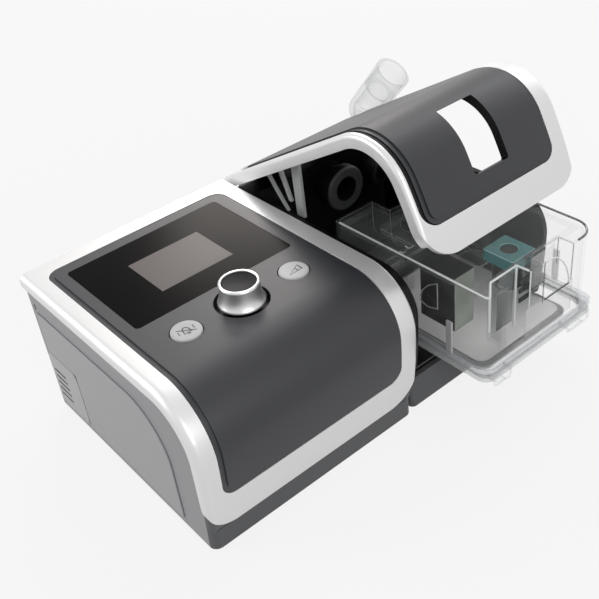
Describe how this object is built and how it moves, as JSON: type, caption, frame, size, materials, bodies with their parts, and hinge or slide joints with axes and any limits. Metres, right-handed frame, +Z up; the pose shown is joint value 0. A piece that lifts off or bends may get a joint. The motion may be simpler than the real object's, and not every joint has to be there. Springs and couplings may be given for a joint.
{
  "type": "bilevel pap machine",
  "caption": "Bedside breathing machine with dial, buttons and display, and a docked heated humidifier whose cover is raised and whose clear water tub is drawn forward.",
  "frame": {"origin": "under the middle of the two bases, on the table, at the bottom of the middle rubber foot", "axes": "+X to the viewer's right along the front, +Y towards the rear, +Z up"},
  "size_m": [0.3486, 0.2437, 0.1953],
  "materials": {
    "silver_plastic": "satin silver paint",
    "dark_plastic": "semi-gloss",
    "black_glass": "polished",
    "screen": "lit",
    "dial_silver": "satin silver paint",
    "button_silver": "satin silver paint",
    "shell_grey": "fine texture",
    "base_grey": "fine texture",
    "deck_dark": "fine texture",
    "rib_pale": "satin",
    "seal_rubber": "matt",
    "heater_metal": "brushed",
    "steel": "turned",
    "inner_plastic": "moulded",
    "motor_metal": "plated",
    "board_green": "solder mask",
    "foam": "open cell",
    "clear_plastic": "clear"
  },
  "bodies": {
    "machine": {"frame_ring": "silver_plastic", "front_panel": "dark_plastic", "display_glass": "black_glass", "display_screen": "screen", "main_shell": "shell_grey", "side_plate": "shell_grey", "left_housing": "shell_grey", "right_wall": "shell_grey", "outlet_tower": "shell_grey", "base_tray": "base_grey", "dock_base": "base_grey", "dock_deck": "deck_dark", "rear_housing": "deck_dark", "dial_well": "deck_dark", "docking_hooks": "deck_dark", "display_module": "deck_dark", "port_nozzle": "deck_dark", "port_seal": "seal_rubber", "return_seal": "seal_rubber", "rubber_feet": "seal_rubber", "blower_mounts": "seal_rubber", "heater_plate": "heater_metal", "hinge_pins": "steel", "case_screws": "steel", "blower_housing": "inner_plastic", "blower_cap": "inner_plastic", "outlet_duct": "inner_plastic", "crossover_duct": "inner_plastic", "card_reader": "inner_plastic", "power_socket": "inner_plastic", "rotary_encoder": "inner_plastic", "button_switches": "inner_plastic", "blower_motor": "motor_metal", "control_board": "board_green", "main_board": "board_green", "heater_board": "board_green", "air_filter": "foam", "sound_foam": "foam"},
    "filter_door_body": {"filter_door": "shell_grey"},
    "dial_press_body": {"encoder_shaft": "steel"},
    "dial": {"dial_skirt": "dial_silver", "dial_cap": "dial_silver"},
    "mute_key": {"mute_button": "button_silver"},
    "ramp_key": {"ramp_button": "button_silver"},
    "fan": {"impeller": "inner_plastic"},
    "card": {"memory_card": "inner_plastic"},
    "humidifier_cover": {"lid_frame": "silver_plastic", "lid_trim": "dark_plastic", "lid_rear_strip": "silver_plastic", "lid_panel": "dark_plastic", "lid_liner": "deck_dark", "cover_arms": "rib_pale"},
    "water_tub": {"tub_body": "clear_plastic", "tub_base_plate": "heater_metal", "tub_gasket": "seal_rubber", "tub_cover": "clear_plastic", "tub_clips": "rib_pale", "tub_baffles": "clear_plastic", "tub_valve": "clear_plastic"},
    "elbow": {"outlet_elbow": "clear_plastic"}
  },
  "joints": [
    {"name": "filter_door_hinge", "type": "hinge", "parent": "machine", "child": "filter_door_body", "pos_m": [-0.15595, 0.0492, 0.031], "axis": [0, 0, 1], "range_deg": [0, 70]},
    {"name": "dial_press", "type": "slide", "parent": "machine", "child": "dial_press_body", "axis": [0, 0, -1], "range_m": [0, 0.0008], "stiffness_N_per_m": 2500},
    {"name": "dial_turn", "type": "hinge", "parent": "dial_press_body", "child": "dial", "pos_m": [-0.0715, -0.0383, 0.12], "axis": [0, 0, 1], "continuous": true},
    {"name": "mute_press", "type": "slide", "parent": "machine", "child": "mute_key", "axis": [0, 0, -1], "range_m": [0, 0.0012], "stiffness_N_per_m": 1500},
    {"name": "ramp_press", "type": "slide", "parent": "machine", "child": "ramp_key", "axis": [0, 0, -1], "range_m": [0, 0.0012], "stiffness_N_per_m": 1500},
    {"name": "fan_spin", "type": "hinge", "parent": "machine", "child": "fan", "pos_m": [-0.0865, 0.007, 0.042], "axis": [0, 0, 1], "continuous": true},
    {"name": "card_slide", "type": "slide", "parent": "machine", "child": "card", "axis": [0, 1, 0], "range_m": [0, 0.024]},
    {"name": "cover_hinge", "type": "hinge", "parent": "machine", "child": "humidifier_cover", "pos_m": [0.0835, 0.095, 0.104], "axis": [-1, 0, 0], "range_deg": [-29.4, 0]},
    {"name": "tub_slide", "type": "slide", "parent": "machine", "child": "water_tub", "axis": [0, -1, 0], "range_m": [-0.068, 0]},
    {"name": "elbow_turn", "type": "hinge", "parent": "machine", "child": "elbow", "pos_m": [0.1445, 0.084, 0.1], "axis": [0, 0, 1], "range_deg": [-5, 80]}
  ],
  "couplings": [
    {"joint": "tub_slide", "follows": "cover_hinge", "m_per_rad": 0.1325}
  ]
}
